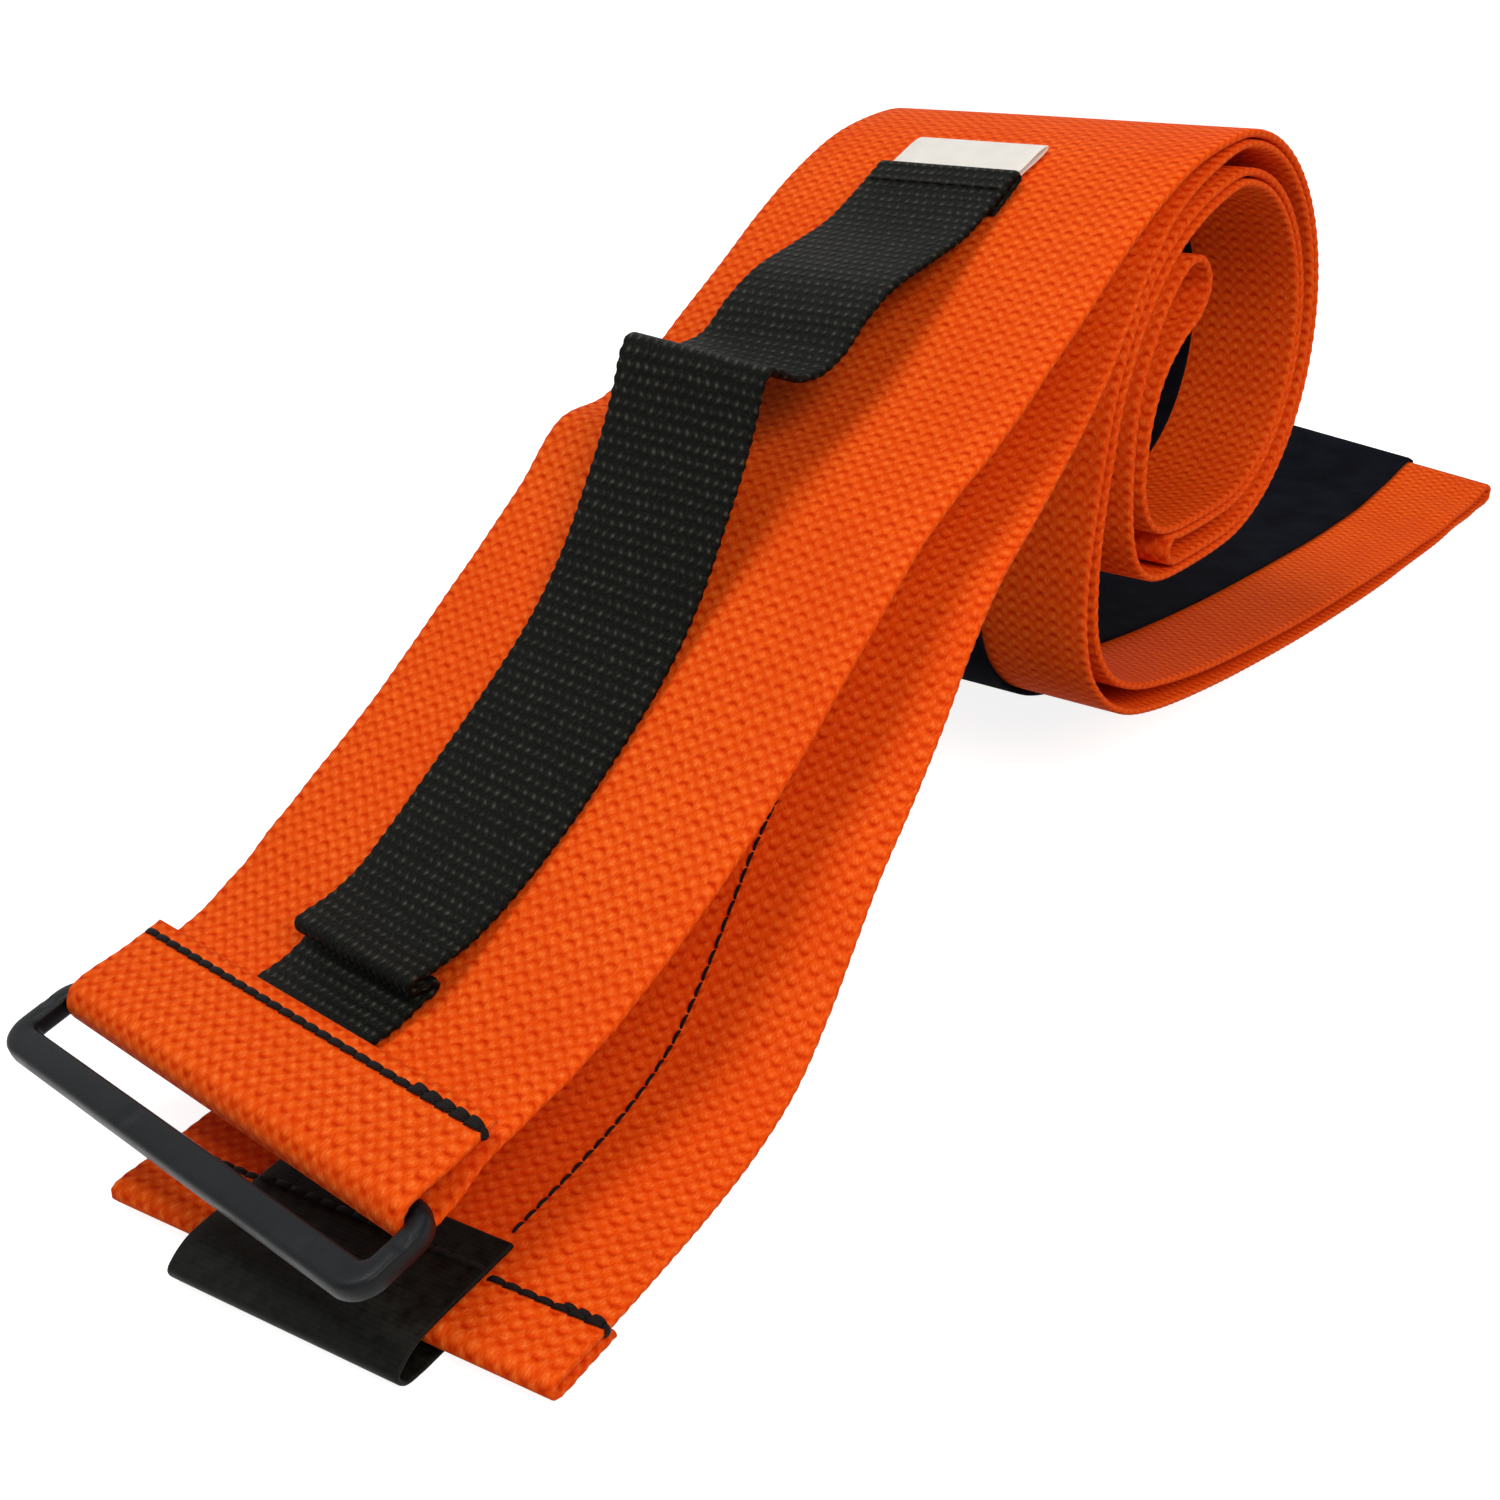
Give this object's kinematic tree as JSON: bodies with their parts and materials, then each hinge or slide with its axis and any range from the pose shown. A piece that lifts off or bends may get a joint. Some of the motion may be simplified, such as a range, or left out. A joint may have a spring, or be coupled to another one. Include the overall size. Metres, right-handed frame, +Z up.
{
  "type": "hook and loop cinch strap",
  "caption": "Wide rolled-up webbing cinch strap with a slotted plastic ring, a black grab handle, a blank label, hook-and-loop tape and a pull tab.",
  "frame": {"origin": "middle of the underside of the whole part's box, on the surface that it lies on", "axes": "+X along the strap from the ring end to the folded tip, +Y across the strap, +Z up"},
  "size_m": [0.4922, 0.13, 0.1495],
  "materials": {
    "strap_webbing": "coarse plain-woven orange webbing, matt with a slight sheen",
    "handle_webbing": "coarse ribbed black polypropylene webbing with a soft gloss",
    "loop_pile": "velvety matt black loop pile",
    "hook_tape": "fine black hook tape with rows of hooks",
    "tab_tape": "fine ribbed black tape, satin",
    "label_tape": "smooth white satin label tape, blank",
    "ring_plastic": "moulded acetal, near-black with a blue cast, semi-matt",
    "thread": "bonded black nylon thread"
  },
  "bodies": {
    "strap": {"main_strap": "strap_webbing", "handle_strap": "handle_webbing", "loop_tape": "loop_pile", "hook_tape": "hook_tape", "pull_tab": "tab_tape", "ring_hem_thread": "thread", "tab_hem_thread": "thread", "handle_end_thread": "thread", "tape_thread_near": "thread", "tape_thread_far": "thread"},
    "ring": {"ring": "ring_plastic"},
    "label": {"label": "label_tape"}
  },
  "joints": [
    {"name": "ring_swing", "type": "hinge", "parent": "strap", "child": "ring", "pos_m": [-0.22537, 0.00992, 0.0273], "axis": [0.0576, 0.9983, 0], "range_deg": [-76, 125]},
    {"name": "label_flip", "type": "hinge", "parent": "strap", "child": "label", "pos_m": [0.00783, 0.01712, 0.1437], "axis": [0, -1, 0], "range_deg": [0, 100]}
  ]
}
